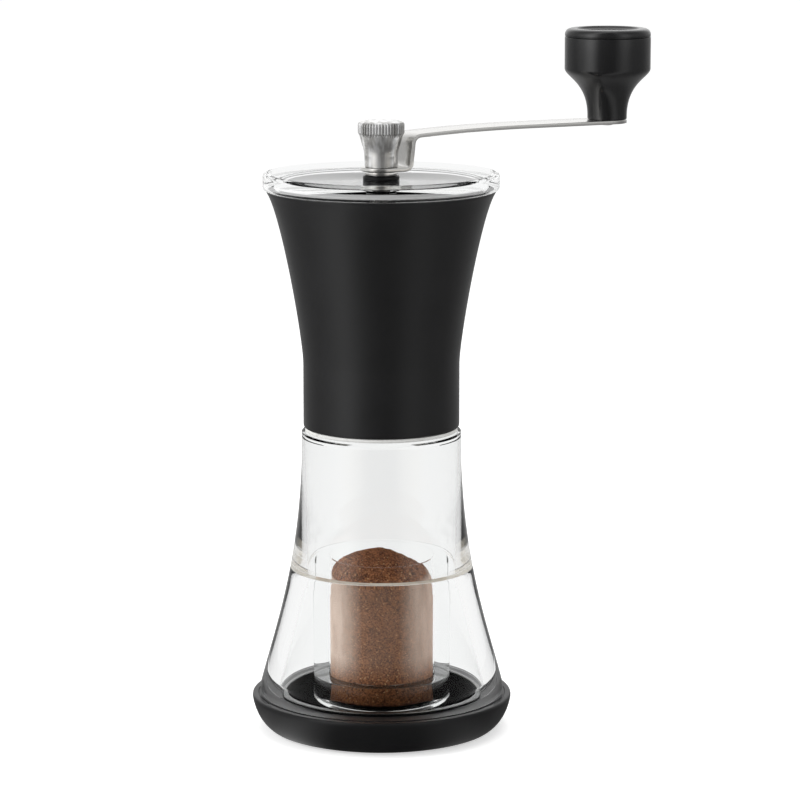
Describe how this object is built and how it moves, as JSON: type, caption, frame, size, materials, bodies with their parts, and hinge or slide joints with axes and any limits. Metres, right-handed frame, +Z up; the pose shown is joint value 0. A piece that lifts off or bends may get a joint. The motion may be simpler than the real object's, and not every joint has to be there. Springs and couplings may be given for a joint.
{
  "type": "hand burr mill",
  "caption": "Hand cranked burr mill for coffee or spices: flared black body with a hopper, clear chamber and conical jar with a cup, clear lid and a crank arm with a knob.",
  "frame": {"origin": "centre of the rubber pad's flat underside, on the mill's axis", "axes": "+Z up along the mill's axis, +X from the axis towards the crank knob at rest"},
  "size_m": [0.147, 0.09, 0.2405],
  "materials": {
    "base_black": "black moulded plastic with a soft sheen",
    "pad_rubber": "matt black rubber",
    "jar_clear": "thick clear polished plastic",
    "seal_rubber": "grey soft ring",
    "cup_clear": "thick clear polished plastic",
    "body_black": "black plastic with a fine satin texture",
    "carrier_plastic": "black moulded plastic",
    "burr_ceramic": "off-white fine ceramic, unglazed",
    "retainer_steel": "plain stainless steel",
    "bridge_black": "black moulded plastic",
    "bush_plastic": "natural acetal",
    "lid_clear": "clear polished plastic",
    "bush_black": "black plastic",
    "shaft_steel": "turned stainless steel",
    "spring_steel": "spring steel",
    "dial_black": "black moulded plastic",
    "arm_steel": "satin stainless steel",
    "nut_steel": "fine turned stainless steel",
    "knob_black": "black plastic with a low sheen",
    "ground_coffee": "medium ground coffee, only in the visual model"
  },
  "bodies": {
    "stand": {"base_foot": "base_black", "grip_pad": "pad_rubber", "lower_jar": "jar_clear", "upper_chamber": "jar_clear", "neck_seal": "seal_rubber"},
    "cup": {"coffee_cup": "cup_clear"},
    "head": {"mill_body": "body_black", "burr_carrier": "carrier_plastic", "outer_burr": "burr_ceramic", "burr_retainer": "retainer_steel", "hopper_bridge": "bridge_black", "upper_bush": "bush_plastic"},
    "lid": {"lid": "lid_clear", "lid_bush": "bush_black"},
    "shaft": {"drive_shaft": "shaft_steel", "clip_washer": "shaft_steel", "shaft_clip": "spring_steel", "spring_seat": "shaft_steel", "burr_spring": "spring_steel"},
    "burr": {"inner_burr": "burr_ceramic", "click_plate": "retainer_steel"},
    "dial": {"grind_dial": "dial_black"},
    "arm": {"crank_arm": "arm_steel", "arm_bush": "nut_steel", "knob_pin": "shaft_steel", "knob_washer": "shaft_steel"},
    "nut": {"thumb_nut": "nut_steel"},
    "knob": {"crank_knob": "knob_black", "knob_cap": "knob_black"}
  },
  "joints": [
    {"name": "head_lift", "type": "slide", "parent": "stand", "child": "head", "axis": [0, 0, 1], "range_m": [0, 0.16]},
    {"name": "cup_lift", "type": "slide", "parent": "stand", "child": "cup", "axis": [0, 0, 1], "range_m": [0, 0.112]},
    {"name": "crank_turn", "type": "hinge", "parent": "head", "child": "shaft", "pos_m": [0, 0, 0.167], "axis": [0, 0, 1], "continuous": true},
    {"name": "burr_gap", "type": "slide", "parent": "shaft", "child": "burr", "axis": [0, 0, 1], "range_m": [0, 0.00187], "deforming": ["burr_spring"]},
    {"name": "dial_turn", "type": "hinge", "parent": "burr", "child": "dial", "pos_m": [0, 0, 0.112], "axis": [0, 0, 1], "range_deg": [0, 540]},
    {"name": "arm_lift", "type": "slide", "parent": "shaft", "child": "arm", "axis": [0, 0, 1], "range_m": [0, 0.06]},
    {"name": "nut_lift", "type": "slide", "parent": "arm", "child": "nut", "axis": [0, 0, 1], "range_m": [0, 0.02]},
    {"name": "knob_spin", "type": "hinge", "parent": "arm", "child": "knob", "pos_m": [0.087, 0, 0.2088], "axis": [0, 0, 1], "continuous": true},
    {"name": "lid_lift", "type": "slide", "parent": "head", "child": "lid", "axis": [0, 0, 1], "range_m": [0, 0.03]}
  ],
  "couplings": [
    {"joint": "cup_lift", "follows": "head_lift", "ratio": 0.7},
    {"joint": "lid_lift", "follows": "arm_lift", "ratio": 0.5},
    {"joint": "burr_gap", "follows": "dial_turn", "m_per_rad": 0.00019894}
  ]
}
